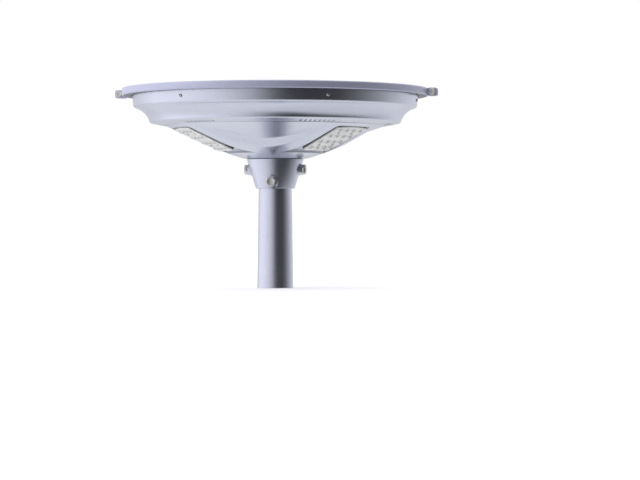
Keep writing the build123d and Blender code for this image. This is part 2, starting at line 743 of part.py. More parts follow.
def clamp_washers(side):
    middle = side * (RING_SPLIT / 2 + LUG_T + CLAMP_WASHER_T / 2)
    half = CLAMP_WASHER_T / 2
    washer = Rot(90, 0, 0) * disc(CLAMP_WASHER_R, -half, half, CLAMP_BOLT_R + RUNNING_GAP)
    spots = [Pos(x, middle, LUG_BOLT_Z) for x in (-LUG_BOLT_X, LUG_BOLT_X)]
    return Compound(children=[spot * washer for spot in spots])


def clamp_nuts():
    seat = RING_SPLIT / 2 + LUG_T + CLAMP_WASHER_T
    nut = hex_head(CLAMP_BOLT_FLATS, CLAMP_NUT_T) - Cylinder(CLAMP_BOLT_R + RUNNING_GAP, 20)
    nuts = []
    for x in (-LUG_BOLT_X, LUG_BOLT_X):
        face = Plane(origin=(x, seat, LUG_BOLT_Z), x_dir=(1, 0, 0), z_dir=(0, 1, 0))
        nuts.append(face * nut)
    return Compound(children=nuts)


# Power button

def button_plane():
    """Plane on the hub cone under the button, with its normal pointing out of the lamp."""
    turn = math.radians(BUTTON_ANGLE)
    slope = math.atan2(ARM_KNEE[1] - HUB_CONE_FOOT[1], ARM_KNEE[0] - HUB_CONE_FOOT[0])
    out = (math.cos(turn), math.sin(turn))
    normal = (math.sin(slope) * out[0], math.sin(slope) * out[1], -math.cos(slope))
    origin = (BUTTON_CIRCLE_R * out[0], BUTTON_CIRCLE_R * out[1], arm_height(BUTTON_CIRCLE_R))
    return Plane(origin=origin, x_dir=(-out[1], out[0], 0), z_dir=normal)


def button_bezel():
    flange = slab(Circle(BEZEL_R), BEZEL_LIFT, BEZEL_LIFT + BEZEL_T)
    barrel = slab(Circle(BARREL_R), -BARREL_DEPTH, BEZEL_LIFT + BEZEL_T / 2)
    return button_plane() * (flange + barrel - slab(Circle(BUTTON_R + RUNNING_GAP), -10, 10))


def power_button():
    cap = slab(Circle(BUTTON_R), -BUTTON_DEPTH, BUTTON_PROUD)
    top = cap.edges().sort_by(Axis.Z)[-1]
    return button_plane() * fillet(top, BUTTON_ROUND)


def button_switch():
    return button_plane() * slab(Circle(SWITCH_R), -BARREL_DEPTH - SWITCH_LENGTH, -BARREL_DEPTH)


def main():
    os.makedirs("parts", exist_ok=True)
    save("pole_section", pole_section())
    save("pole_collar", pole_collar())
    save("collar_gasket", collar_gasket())
    save("hub_screws", hub_screws())
    for name, angle, height, face, _ in COLLAR_BOLTS:
        save(name, collar_bolt(angle, height, face))
    save("housing_bowl", housing_bowl())
    save("vent_screens", vent_screens())
    for name, angle in MODULES:
        plane = module_plane(angle)
        save("lens_plate_" + name, lens_plate(plane))
        save("lens_gasket_" + name, lens_gasket(plane))
        save("led_board_" + name, led_board(plane))
        save("led_chips_" + name, led_chips(plane))
    save("plate_screws", plate_screws())
    save("band_screws", band_screws())
    save("equipment_plate", equipment_plate())
    save("battery_case", battery_case())
    save("battery_cells", battery_cells())
    save("controller_case", controller_case())
    save("controller_board", controller_board())
    save("equipment_screws", equipment_screws())
    save("lid_seal", lid_seal())
    save("lid_tray", lid_tray())
    save("solar_backsheet", solar_backsheet())
    save("solar_cells", solar_cells())
    save("solar_glass", solar_glass())
    save("junction_box", junction_box())
    save("clamp_ring_front", ring_half(-1))
    save("clamp_ring_rear", ring_half(1))
    save("clamp_bolt_right", clamp_bolt(LUG_BOLT_X))
    save("clamp_bolt_left", clamp_bolt(-LUG_BOLT_X))
    save("clamp_washers_front", clamp_washers(-1))
    save("clamp_washers_rear", clamp_washers(1))
    save("clamp_nuts", clamp_nuts())
    save("button_bezel", button_bezel())
    save("power_button", power_button())
    save("button_switch", button_switch())


main()
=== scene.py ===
import json
import math

import bpy
import numpy as np
from mathutils import Matrix, Vector


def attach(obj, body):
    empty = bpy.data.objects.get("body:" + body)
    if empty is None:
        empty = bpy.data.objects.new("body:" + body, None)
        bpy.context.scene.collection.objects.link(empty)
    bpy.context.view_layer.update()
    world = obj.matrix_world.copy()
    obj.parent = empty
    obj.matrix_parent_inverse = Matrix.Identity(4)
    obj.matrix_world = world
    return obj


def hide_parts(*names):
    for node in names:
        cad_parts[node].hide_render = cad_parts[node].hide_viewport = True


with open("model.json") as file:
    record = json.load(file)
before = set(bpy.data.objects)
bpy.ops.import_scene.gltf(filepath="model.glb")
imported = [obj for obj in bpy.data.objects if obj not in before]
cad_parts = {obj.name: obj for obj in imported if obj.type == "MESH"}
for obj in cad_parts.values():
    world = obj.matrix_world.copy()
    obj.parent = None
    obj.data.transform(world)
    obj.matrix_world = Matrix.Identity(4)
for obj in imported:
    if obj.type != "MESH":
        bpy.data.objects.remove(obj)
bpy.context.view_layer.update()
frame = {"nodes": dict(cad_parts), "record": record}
MM = 0.001
TURN = 2 * math.pi

# Lengths below are in millimetres, in the frame of the CAD model, and angles in degrees.
CAMERA_DISTANCE = 4355.0
CAMERA_AZIMUTH = 9.5
CAMERA_HEIGHT = 113.0
CAMERA_YAW = 1.076
CAMERA_PITCH = 0.337
CAMERA_LENS = 133.9

# Bowl: arms that carry the modules, the hub, and concave fans between the arms
LEDGE_R = 200.0
LEDGE_Z = 295.5
ARM_SLOPE = 0.465
HUB_R = 60.0
HUB_Z = 237.0
HUB_SLOPE = 0.3
HUB_FLAT_R = 54.0
HUB_FLAT_Z = 235.8
HUB_FLAT_BLEND = 0.8
HUB_HOLE_R = 20.0
KNEE_BLEND = 5.0
MODULE_ANGLES = {"rear": 90.0, "left": 210.0, "right": 330.0}
MODULE_R = 140.0
MODULE_Z = 269.0
MODULE_SLOPE = 0.44
ARM_HALF_WIDTH = 66.0
FAN_SLOPE = 0.372
FAN_BLEND = 110.0
FAN_EDGE = 17.0
FAN_HOLLOW = 2.0
FAN_HOLLOW_R = 100.0
DISH_COLUMNS = 1200
DISH_ROW_STEP = 1.2

# Recess round each lens plate, wider towards the hub, and painted shade: a dark line along its edge and a
# darker floor
RECESS_R = (87.0, 188.0)
RECESS_HALF_WIDTH = 46.5
RECESS_CORNER = 9.0
RECESS_FLARE = 12.3
RECESS_WAIST_L = 122.0
FLARE_LENGTH = 58.0
FLARE_LIMIT = 1.2
FLARE_POWER = 1.7
RECESS_DEPTH = 3.5
RECESS_WALL = 2.2
PLATE_GAP = 1.5
OUTLINE_REACH = 1.9
OUTLINE_INNER_REACH = 2.0
OUTLINE_WIDENING = 1.2
OUTLINE_FADE = 0.9
OUTLINE_SHADE = 0.72
FLOOR_SHADE = 0.2
FAR_OUTSIDE = -1e3

# Rim: groove, ledge with vent slots, lip, cove, band and flange
RIM_COLUMNS = 600
GROOVE_ROWS = (2, 3, 4)
VENT_LEDGE_R = 202.2
VENT_LEDGE_Z = 295.9
VENT_LEDGE_SLOPE = 0.187
VENT_GROUPS = 6
VENT_OFFSETS = (-14, -10, -6, -2, 2, 6, 10, 14)
VENT_RADII = (204.5, 216.5)
BAND_R = 259.0
BAND_Z = 332.2
BAND_LEAN = 1.7
BAND_H = 17.8
FLANGE_Z = 352.85
FLANGE_R = 276.4

# Hole for the button, and the bowl's plain inner face
BUTTON_ANGLE = 108.6
BUTTON_CIRCLE_R = 66.0
BUTTON_HOLE_R = 4.9
LINER_HOLE_R = 5.7
WALL = 2.2
LINER_SLOPE = 0.52
LINER_RINGS = (58.0, 60.0, 62.0, 64.0, 66.0, 68.0, 70.0, 72.0, 74.0, 100.0)


# Mesh helpers

AXIS_R = 1e-4
HEX_SEGMENTS = 96
HEX_CROWN = 0.93
HEX_CHAMFER = math.tan(math.radians(30))


def piece(name, points, faces, material, body, slot, replaces=(), sharp=32.0):
    """New mesh piece from points in millimetres, smooth but for edges sharper than the given angle."""
    mesh = bpy.data.meshes.new(name)
    mesh.from_pydata([tuple(p) for p in np.asarray(points, float) * MM], [], faces)
    mesh.validate()
    mesh.shade_smooth()
    mesh.set_sharp_from_angle(angle=math.radians(sharp))
    made = bpy.data.objects.new(name, mesh)
    bpy.context.scene.collection.objects.link(made)
    mesh.materials.append(material)
    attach(made, body)
    if replaces:
        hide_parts(*replaces)
    return made


def mark_points(made, name, marks):
    """Attribute for the material on a piece's points, 0 past the end of the given values."""
    values = np.zeros(len(made.data.vertices), np.float32)
    values[:len(marks)] = marks
    made.data.attributes.new(name, "FLOAT", "POINT").data.foreach_set("value", values)


def joined(parts):
    """One list of points and faces from several."""
    points, faces, count = [], [], 0
    for part_points, part_faces in parts:
        points.append(np.asarray(part_points, float))
        faces += [tuple(count + i for i in face) for face in part_faces]
        count += len(part_points)
    return np.concatenate(points), faces


def without(part, x, y, reach):
    """The part with a hole round an upright line through x, y."""
    points, faces = part
    gone = set(np.flatnonzero(np.hypot(points[:, 0] - x, points[:, 1] - y) < reach))
    return points, [face for face in faces if gone.isdisjoint(face)]


def grid_faces(rows, columns, wrap_rows=False, wrap_columns=True):
    """Quads of a grid stored row by row."""
    faces = []
    for i in range(rows if wrap_rows else rows - 1):
        for j in range(columns if wrap_columns else columns - 1):
            k = (j + 1) % columns
            below = ((i + 1) % rows) * columns
            faces.append((i * columns + j, i * columns + k, below + k, below + j))
    return faces


def capped(rows, last_first=False):
    """Closed tube through rows of equally many points. Its two end faces look opposite ways."""
    count = len(rows[0])
    first = tuple(range(count))
    last = tuple(range((len(rows) - 1) * count, len(rows) * count))
    ends = [last, first[::-1]] if last_first else [first, last[::-1]]
    return np.concatenate(rows), grid_faces(len(rows), count) + ends


def lathe(profile, segments=96, closed=True, start=0.0):
    """Surface of revolution about Z from (radius, height) points. A point at radius 0 closes the end."""
    angle = math.radians(start) + np.arange(segments) / segments * TURN
    ring = np.stack([np.cos(angle), np.sin(angle)], 1)
    rows = [np.column_stack([ring * max(r, AXIS_R), np.full(segments, z)]) for r, z in profile]
    return np.concatenate(rows), grid_faces(len(profile), segments, wrap_rows=closed)


def rounded(profile, radius, steps=4):
    """Closed outline with each corner turned into a short arc, by one radius for all or a list of them."""
    corners = [np.array(p, float) for p in profile]
    radii = np.broadcast_to(radius, len(corners))
    counts = np.broadcast_to(steps, len(corners))
    out = []
    for i, corner in enumerate(corners):
        before, after = corners[i - 1] - corner, corners[(i + 1) % len(corners)] - corner
        to_before, to_after = np.linalg.norm(before), np.linalg.norm(after)
        reach = min(radii[i], 0.45 * to_before, 0.45 * to_after)
        a, b = corner + before / to_before * reach, corner + after / to_after * reach
        for t in np.linspace(0, 1, counts[i] + 1):
            out.append((1 - t) ** 2 * a + 2 * t * (1 - t) * corner + t * t * b)
    return out


def inset(outline, amount):
    """The outline moved inward, for a convex shape."""
    outline = np.asarray(outline)
    along = np.roll(outline, -1, 0) - np.roll(outline, 1, 0)
    normal = np.column_stack([-along[:, 1], along[:, 0]]) / np.linalg.norm(along, axis=1)[:, None]
    return outline + normal * amount


def placed(part, origin, normal, spin=0.0):
    """Points and faces moved so that local Z points along normal from origin."""
    points, faces = part
    turn = Vector(normal).to_track_quat("Z", "Y").to_matrix() @ Matrix.Rotation(spin, 3, "Z")
    return np.asarray(points) @ np.array(turn).T + np.array(origin, float), faces


def outward(angle):
    """Level direction away from the lamp's axis at an angle."""
    return (math.cos(math.radians(angle)), math.sin(math.radians(angle)), 0.0)


def arc(a, b, c, steps):
    """Points on the circle through a, b and c, from a to c."""
    (ax, ay), (bx, by), (cx, cy) = a, b, c
    d = 2 * (ax * (by - cy) + bx * (cy - ay) + cx * (ay - by))
    ux = ((ax**2 + ay**2) * (by - cy) + (bx**2 + by**2) * (cy - ay) + (cx**2 + cy**2) * (ay - by)) / d
    uy = ((ax**2 + ay**2) * (cx - bx) + (bx**2 + by**2) * (ax - cx) + (cx**2 + cy**2) * (bx - ax)) / d
    first, middle, last = (math.atan2(y - uy, x - ux) for x, y in (a, b, c))
    sweep = (last - first + math.pi) % TURN - math.pi
    if not min(0, sweep) <= (middle - first + math.pi) % TURN - math.pi <= max(0, sweep):
        sweep -= math.copysign(TURN, sweep)
    radius = math.hypot(ax - ux, ay - uy)
    return [(ux + radius * math.cos(first + sweep * t), uy + radius * math.sin(first + sweep * t))
            for t in np.linspace(0, 1, steps)]


def smooth_step(x):
    """0 to 1 with soft ends."""
    x = np.clip(x, 0, 1)
    return x * x * (3 - 2 * x)


def smooth_min(a, b, k):
    """The lower of two, blended where they differ by less than k."""
    h = np.clip(k - np.abs(a - b), 0, None) / k
    return np.minimum(a, b) - h * h * k / 4


def hex_rows(flats, height):
    """Rows of (radius, height) round a hexagon on z = 0, up to the round crown on its chamfer."""
    angle = np.arange(HEX_SEGMENTS) / HEX_SEGMENTS * TURN
    reach = flats / 2 / np.cos((angle + math.pi / 6) % (math.pi / 3) - math.pi / 6)
    crown = HEX_CROWN * flats / 2
    side = height - np.clip(reach - crown, 0, None) * HEX_CHAMFER
    foot = [(reach * 0.965, 0.0), (reach * 0.985, 0.25), (reach, 0.7)]
    return foot + [(reach, side - 0.25), (reach * 0.985, side), (crown, height)]


def turned_rows(rows):
    """Points and faces from rows of (radius, height), each a number or one value for each column."""
    angle = np.arange(HEX_SEGMENTS) / HEX_SEGMENTS * TURN
    level = np.zeros(HEX_SEGMENTS)
    points = [np.column_stack([np.cos(angle) * r, np.sin(angle) * r, level + z]) for r, z in rows]
    return np.concatenate(points), grid_faces(len(rows), HEX_SEGMENTS)


def hex_head(flats, height, dish):
    """Bolt head with its crown chamfered and a shallow dish in its top, standing on z = 0."""
    rows = hex_rows(flats, height)
    crown = rows[-1][0]
    return turned_rows(rows + [(crown * 0.72, height - dish * 0.4), (crown * 0.62, height - dish),
                               (AXIS_R, height - dish)])


def hex_nut(flats, height, bore):
    """Nut standing on z = 0, its bore slightly wider at the crown."""
    return turned_rows(hex_rows(flats, height) + [(bore + 0.1, height), (bore, 0.0)])


def thread(radius, pitch, low, high, per_turn=40):
    """Helical thread from low to high about Z, with a pointed start and a chamfered end."""
    turns = (high - low) / pitch - 1
    steps = int(turns * per_turn)
    depth = 0.55 * pitch
    section = ((depth, 0.0), (0.0, 0.42), (0.0, 0.58), (depth, 1.0))
    points = []
    for i in range(steps + 1):
        angle = i / per_turn * TURN
        base = low + i / per_turn * pitch
        fade = min(1, i / per_turn, (steps - i) / per_turn)
        for cut, up in section:
            r = radius - depth + (depth - cut) * fade
            points.append((r * math.cos(angle), r * math.sin(angle), base + up * pitch))
    faces = grid_faces(steps + 1, len(section), wrap_columns=False)
    core_r = radius - depth + 0.02
    core = lathe([(0, low), (radius - depth - 0.4, low), (core_r, low + 0.5), (core_r, high), (0, high)], 48,
                 closed=False)
    return joined([(np.array(points), faces), core])


# Materials

# Share of a paint's colour left where its painted shade is full.
PAINTED_SHADE_TINT = 0.24
FINGER_PITCH_M = 0.0021
BUSBAR_PITCH_M = 0.021


def nodes_of(name):
    """New material with its node tree and its Principled shader."""
    material = bpy.data.materials.new(name)
    material.use_nodes = True
    tree = material.node_tree
    return material, tree, tree.nodes["Principled BSDF"]


def add(tree, kind, **settings):
    """New node with its settings."""
    node = tree.nodes.new(kind)
    for key, value in settings.items():
        setattr(node, key, value)
    return node


def noise(tree, scale, detail, stretch=(1, 1, 1)):
    """Noise in object coordinates, stretched along an axis."""
    where = add(tree, "ShaderNodeTexCoord")
    mapping = add(tree, "ShaderNodeMapping")
    mapping.inputs["Scale"].default_value = stretch
    tree.links.new(where.outputs["Object"], mapping.inputs["Vector"])
    texture = add(tree, "ShaderNodeTexNoise")
    texture.inputs["Scale"].default_value = scale
    texture.inputs["Detail"].default_value = detail
    tree.links.new(mapping.outputs["Vector"], texture.inputs["Vector"])
    return texture.outputs["Fac"]


def attribute(tree, name):
    """Value that mark_points has put on the piece."""
    node = add(tree, "ShaderNodeAttribute", attribute_name=name)
    return node.outputs["Fac"]


def ramp(tree, source, stops):
    """Colour ramp from a list of (position, colour)."""
    node = add(tree, "ShaderNodeValToRGB")
    while len(node.color_ramp.elements) < len(stops):
        node.color_ramp.elements.new(0.5)
    for element, (position, colour) in zip(node.color_ramp.elements, stops):
        element.position = position
        element.color = (*colour, 1)
    tree.links.new(source, node.inputs["Fac"])
    return node.outputs["Color"]


def spread(tree, source, low, high):
    """Maps 0..1 onto a range."""
    node = add(tree, "ShaderNodeMapRange")
    node.inputs["To Min"].default_value = low
    node.inputs["To Max"].default_value = high
    tree.links.new(source, node.inputs["Value"])
    return node.outputs["Result"]


def share_of(tree, source, low, high, interpolation="LINEAR"):
    """Maps a range onto 0..1."""
    node = add(tree, "ShaderNodeMapRange", interpolation_type=interpolation)
    node.inputs["From Min"].default_value = low
    node.inputs["From Max"].default_value = high
    tree.links.new(source, node.inputs["Value"])
    return node.outputs["Result"]


def calculated(tree, operation, *terms):
    """Result of a math node on sockets and numbers."""
    node = add(tree, "ShaderNodeMath", operation=operation)
    for term, socket in zip(terms, node.inputs):
        if isinstance(term, float):
            socket.default_value = term
        else:
            tree.links.new(term, socket)
    return node.outputs[0]


def mixed_colour(tree, share, first, second):
    """Colour from the first to the second by a share. The second can be a plain colour."""
    node = add(tree, "ShaderNodeMix", data_type="RGBA")
    tree.links.new(share, node.inputs[0])
    tree.links.new(first, node.inputs[6])
    if isinstance(second, tuple):
        node.inputs[7].default_value = (*second, 1)
    else:
        tree.links.new(second, node.inputs[7])
    return node.outputs[2]


def mixed_shader(tree, share, first, second):
    """Shader from the first to the second by a share."""
    node = add(tree, "ShaderNodeMixShader")
    for source, socket in zip((share, first, second), node.inputs):
        tree.links.new(source, socket)
    return node.outputs[0]


def bump(tree, shader, height, strength, distance):
    """Fine relief on a shader."""
    node = add(tree, "ShaderNodeBump")
    node.inputs["Strength"].default_value = strength
    node.inputs["Distance"].default_value = distance
    tree.links.new(height, node.inputs["Height"])
    tree.links.new(node.outputs["Normal"], shader.inputs["Normal"])


def tinted(colour, share):
    """Colour made darker or lighter."""
    return tuple(c * share for c in colour)


def satin_paint(name, colour, metallic, roughness, flake=420.0, painted_shade=None):
    """Silver paint with fine flake, slight orange peel and soft patches in its gloss, and painted shade where
    the named attribute is high.
    """
    material, tree, shader = nodes_of(name)
    flakes = noise(tree, flake, 2.0)
    colours = ramp(tree, flakes, [(0.30, tinted(colour, 0.95)), (0.72, tinted(colour, 1.04))])
    # Painted shade: darker where the named attribute is high.
    if painted_shade is not None:
        colours = mixed_colour(tree, attribute(tree, painted_shade), colours, tinted(colour, PAINTED_SHADE_TINT))
    tree.links.new(colours, shader.inputs["Base Color"])
    shader.inputs["Metallic"].default_value = metallic
    patches = noise(tree, 9.0, 2.0)
    tree.links.new(spread(tree, patches, roughness - 0.05, roughness + 0.06), shader.inputs["Roughness"])
    bump(tree, shader, noise(tree, 170.0, 1.0), 0.04, 0.0002)
    return material


def worn_metal(name, colour, roughness, stretch=(1, 1, 12), metallic=1.0):
    """Bare or plated metal with machining marks and small stains."""
    material, tree, shader = nodes_of(name)
    stains = ramp(tree, noise(tree, 60.0, 6.0), [(0.25, tinted(colour, 0.72)), (0.7, colour)])
    tree.links.new(stains, shader.inputs["Base Color"])
    shader.inputs["Metallic"].default_value = metallic
    lines = noise(tree, 300.0, 4.0, stretch)
    tree.links.new(spread(tree, lines, roughness - 0.08, roughness + 0.12), shader.inputs["Roughness"])
    bump(tree, shader, lines, 0.15, 0.0001)
    return material


def moulded(name, colour, roughness, grain=700.0, sheen=0.0):
    """Moulded plastic or rubber with a fine grain."""
    material, tree, shader = nodes_of(name)
    colours = ramp(tree, noise(tree, 25.0, 5.0), [(0.3, tinted(colour, 0.85)), (0.7, tinted(colour, 1.12))])
    tree.links.new(colours, shader.inputs["Base Color"])
    grains = noise(tree, grain, 3.0)
    tree.links.new(spread(tree, grains, roughness - 0.06, roughness + 0.08), shader.inputs["Roughness"])
    shader.inputs["Sheen Weight"].default_value = sheen
    bump(tree, shader, grains, 0.2, 0.0002)
    return material


def lens_material(name):
    """White optical plate. The attribute dome runs from 0 on the plate to 1 at the middle of a lens."""
    material, tree, shader = nodes_of(name)
    stops = [
        (0.0, (0.90, 0.91, 0.89)),
        (0.08, (0.74, 0.75, 0.74)),
        (0.20, (0.90, 0.90, 0.88)),
        (0.56, (0.82, 0.82, 0.79)),
        (0.70, (0.22, 0.22, 0.21)),
        (1.0, (0.28, 0.27, 0.23)),
    ]
    tree.links.new(ramp(tree, attribute(tree, "dome"), stops), shader.inputs["Base Color"])
    tree.links.new(spread(tree, noise(tree, 300.0, 3.0), 0.12, 0.24), shader.inputs["Roughness"])
    shader.inputs["Coat Weight"].default_value = 0.4
    shader.inputs["Subsurface Weight"].default_value = 0.15
    shader.inputs["Subsurface Radius"].default_value = (0.004, 0.004, 0.004)
    return material


def glass_material(name):
    """Clear cover glass: see-through, with a reflection that grows towards grazing angles."""
    material, tree, shader = nodes_of(name)
    shader.inputs["Base Color"].default_value = (0.9, 0.95, 0.95, 1)
    shader.inputs["Metallic"].default_value = 0.6
    tree.links.new(spread(tree, noise(tree, 40.0, 3.0), 0.02, 0.07), shader.inputs["Roughness"])
    clear = add(tree, "ShaderNodeBsdfTransparent")
    clear.inputs["Color"].default_value = (0.95, 0.97, 0.97, 1)
    edge = add(tree, "ShaderNodeFresnel")
    edge.inputs["IOR"].default_value = 1.5
    side = add(tree, "ShaderNodeNewGeometry")
    outside = calculated(tree, "SUBTRACT", 1.0, side.outputs["Backfacing"])
    share = calculated(tree, "MULTIPLY", edge.outputs["Fac"], outside)
    surface = mixed_shader(tree, share, clear.outputs[0], shader.outputs[0])
    tree.links.new(surface, tree.nodes["Material Output"].inputs["Surface"])
    return material


def stripes(tree, axis, pitch, share, offset=0.0):
    """1 on thin lines across an axis at a pitch in metres, each as wide as its share of the pitch."""
    where = add(tree, "ShaderNodeTexCoord")
    split = add(tree, "ShaderNodeSeparateXYZ")
    tree.links.new(where.outputs["Object"], split.inputs[0])
    shifted = calculated(tree, "ADD", split.outputs[axis], offset)
    wrapped = calculated(tree, "PINGPONG", shifted, pitch / 2)
    return calculated(tree, "LESS_THAN", wrapped, pitch * share / 2)


def wafer_material(name):
    """Dark blue silicon with thin contact fingers along X and three wider busbars along Y in each cell."""
    material, tree, shader = nodes_of(name)
    silicon = ramp(tree, noise(tree, 30.0, 4.0), [(0.3, (0.006, 0.010, 0.045)), (0.7, (0.012, 0.022, 0.085))])
    fingers = calculated(tree, "MULTIPLY", stripes(tree, 1, FINGER_PITCH_M, 0.12), 0.12)
    busbars = stripes(tree, 0, BUSBAR_PITCH_M, 0.07, BUSBAR_PITCH_M / 2)
    contacts = calculated(tree, "MAXIMUM", fingers, busbars)
    tree.links.new(mixed_colour(tree, contacts, silicon, (0.55, 0.57, 0.60)), shader.inputs["Base Color"])
    tree.links.new(spread(tree, noise(tree, 200.0, 3.0), 0.22, 0.34), shader.inputs["Roughness"])
    return material


def board_material(name, base, track):
    """Circuit board: solder mask with lighter copper areas under it."""
    material, tree, shader = nodes_of(name)
    areas = noise(tree, 120.0, 1.0, (1, 3, 1))
    tree.links.new(ramp(tree, areas, [(0.48, base), (0.52, track)]), shader.inputs["Base Color"])
    tree.links.new(spread(tree, noise(tree, 400.0, 2.0), 0.3, 0.45), shader.inputs["Roughness"])
    return material


MATERIALS = {
    # The bowl's and the ring's paint take painted shade from the attribute groove.
    "bowl_silver": satin_paint("bowl_paint", (0.58, 0.60, 0.69), 0.92, 0.27, painted_shade="groove"),
    "cast_silver": satin_paint("collar_paint", (0.58, 0.595, 0.69), 0.86, 0.27, 350.0),
    "pole_paint": satin_paint("pole_paint", (0.60, 0.605, 0.71), 0.86, 0.26),
    "ring_silver": satin_paint("ring_paint", (0.57, 0.58, 0.75), 0.20, 0.40, painted_shade="groove"),
    "steel": worn_metal("stainless", (0.66, 0.65, 0.62), 0.28),
    "zinc": worn_metal("zinc_plate", (0.82, 0.81, 0.78), 0.36, metallic=0.55),
    "lens": lens_material("lens_plate"),
    "led": moulded("phosphor", (0.80, 0.62, 0.12), 0.4),
    "board": board_material("white_board", (0.82, 0.82, 0.80), (0.70, 0.70, 0.68)),
    "rubber_black": moulded("rubber", (0.022, 0.022, 0.025), 0.62, 500.0, 0.2),
    "gasket_grey": moulded("silicone", (0.36, 0.37, 0.40), 0.55, 500.0),
    "plate_zinc": worn_metal("aluminium_sheet", (0.62, 0.63, 0.64), 0.35, (1, 14, 1)),
    "case_black": moulded("case_plastic", (0.03, 0.03, 0.034), 0.48),
    "cell_wrap": moulded("cell_sleeve", (0.03, 0.14, 0.45), 0.22, 200.0),
    "pcb": board_material("green_board", (0.012, 0.10, 0.04), (0.03, 0.18, 0.07)),
    "solar_wafer": wafer_material("silicon"),
    "backsheet": moulded("backsheet", (0.62, 0.64, 0.66), 0.5, 300.0),
    "glass": glass_material("cover_glass"),
    "mesh": worn_metal("screen_wire", (0.09, 0.09, 0.10), 0.5, (1, 1, 1), 0.6),
}


def dress_cad_nodes():
    """Gives each CAD node the material of its slot."""
    slots = {part["node"]: part["material_slot"] for part in frame["record"]["subparts"]}
    for name, node in frame["nodes"].items():
        material = MATERIALS[slots[name]]
        if not node.material_slots:
            node.data.materials.append(material)
        for held in node.material_slots:
            held.material = material


# Bowl

def bowl_height(x, y):
    """Height of the bowl's outer face inside the ledge, and how dark its painted shade is in a recess and
    round it.
    """
    r = np.hypot(x, y)
    outer_line = LEDGE_Z + (r - LEDGE_R) * ARM_SLOPE
    hub_line = HUB_Z + (r - HUB_R) * HUB_SLOPE
    arm = -smooth_min(-outer_line, -hub_line, KNEE_BLEND)
    arm = -smooth_min(-arm, -np.full_like(r, HUB_FLAT_Z), HUB_FLAT_BLEND)
    edges = []
    recess = np.full_like(r, FAR_OUTSIDE)
    plate = np.zeros_like(r)
    outline = np.zeros_like(r)
    for angle in MODULE_ANGLES.values():
        turn = math.radians(angle)
        along = x * math.cos(turn) + y * math.sin(turn)
        across = np.abs(-x * math.sin(turn) + y * math.cos(turn))
        edges.append(np.where(along > 0, across, r) - ARM_HALF_WIDTH)
        flare = np.clip((RECESS_WAIST_L - along) / FLARE_LENGTH, 0, FLARE_LIMIT) ** FLARE_POWER
        side = RECESS_HALF_WIDTH + RECESS_FLARE * flare - across
        ends = np.minimum(RECESS_R[1] - r, r - RECESS_R[0])
        round_corner, sharp_corner = smooth_min(side, ends, RECESS_CORNER), np.minimum(side, ends)
        inside = np.where(along > RECESS_WAIST_L, round_corner, sharp_corner)
        inside = np.where(along > 0, inside, FAR_OUTSIDE)
        plate = np.where(inside > recess, MODULE_Z + (along - MODULE_R) * MODULE_SLOPE, plate)
        recess = np.maximum(recess, inside)
        # Painted shade: a dark line along the recess edge, wider inside the recess towards the hub.
        reach = np.where(inside > 0, OUTLINE_INNER_REACH + OUTLINE_WIDENING * flare, OUTLINE_REACH)
        outline = np.maximum(outline, np.clip((reach - np.abs(inside)) / OUTLINE_FADE, 0, 1))
    edges = np.sort(np.stack(edges), 0)
    edge = smooth_min(edges[0], edges[1], FAN_BLEND)
    hollow = np.sin(math.pi * np.clip((r - FAN_HOLLOW_R) / (LEDGE_R - FAN_HOLLOW_R), 0, 1))
    fan = LEDGE_Z - (LEDGE_R - r) * FAN_SLOPE - arm + FAN_HOLLOW * hollow
    height = arm + np.clip(fan, 0, None) * smooth_step(edge / FAN_EDGE)
    floor = np.maximum(arm + RECESS_DEPTH, plate + PLATE_GAP)
    depth = smooth_step(recess / RECESS_WALL)
    # The second value is painted shade: the dark edge line, or the recess floor's darker tone where that is
    # more.
    return height + (floor - height) * depth, np.maximum(OUTLINE_SHADE * outline, FLOOR_SHADE * depth)


def bowl_dish():
    """The bowl inside the ledge, with the painted shade of its recesses."""
    angle = np.arange(DISH_COLUMNS) / DISH_COLUMNS * TURN
    radii = [HUB_HOLE_R, 30.0, 40.0, 48.0, 51.0]
    radii += list(np.linspace(HUB_FLAT_R, LEDGE_R, int((LEDGE_R - HUB_FLAT_R) / DISH_ROW_STEP)))
    rows, marks = [], []
    for r in radii:
        x, y = r * np.cos(angle), r * np.sin(angle)
        z, painted_shade = bowl_height(x, y)
        rows.append(np.column_stack([x, y, z]))
        marks.append(painted_shade)
    return (np.concatenate(rows), grid_faces(len(rows), DISH_COLUMNS)), marks


def bowl_rim_profile():
    """Outer face from the groove at the ledge's inner edge out to the flange."""
    groove = [(200.2, 295.3), (200.5, 296.6), (201.2, 297.0), (201.9, 296.7), (VENT_LEDGE_R, VENT_LEDGE_Z)]
    ledge = [(r, VENT_LEDGE_Z + (r - VENT_LEDGE_R) * VENT_LEDGE_SLOPE)
             for r in (203.2, *VENT_RADII, 221.0, 225.0)]
    lip = arc((226.8, 300.6), (229.1, 301.9), (230.0, 304.3), 7)
    cove = arc((230.2, 304.9), (239.5, 319.1), (255.6, 328.3), 22)
    step = arc((256.6, 328.9), (258.3, 330.2), (BAND_R, BAND_Z), 6)
    band = [(BAND_R + BAND_LEAN * t, BAND_Z + BAND_H * t) for t in (0.02, 0.25, 0.5, 0.75, 1.0)]
    flange = [(260.75, FLANGE_Z - 0.65), (261.4, FLANGE_Z), (FLANGE_R - 0.6, FLANGE_Z),
              (FLANGE_R, FLANGE_Z + 0.55), (FLANGE_R, FLANGE_Z + 1.65), (FLANGE_R - 0.6, FLANGE_Z + 2.05)]
    return groove + ledge + lip + cove + step + band + flange


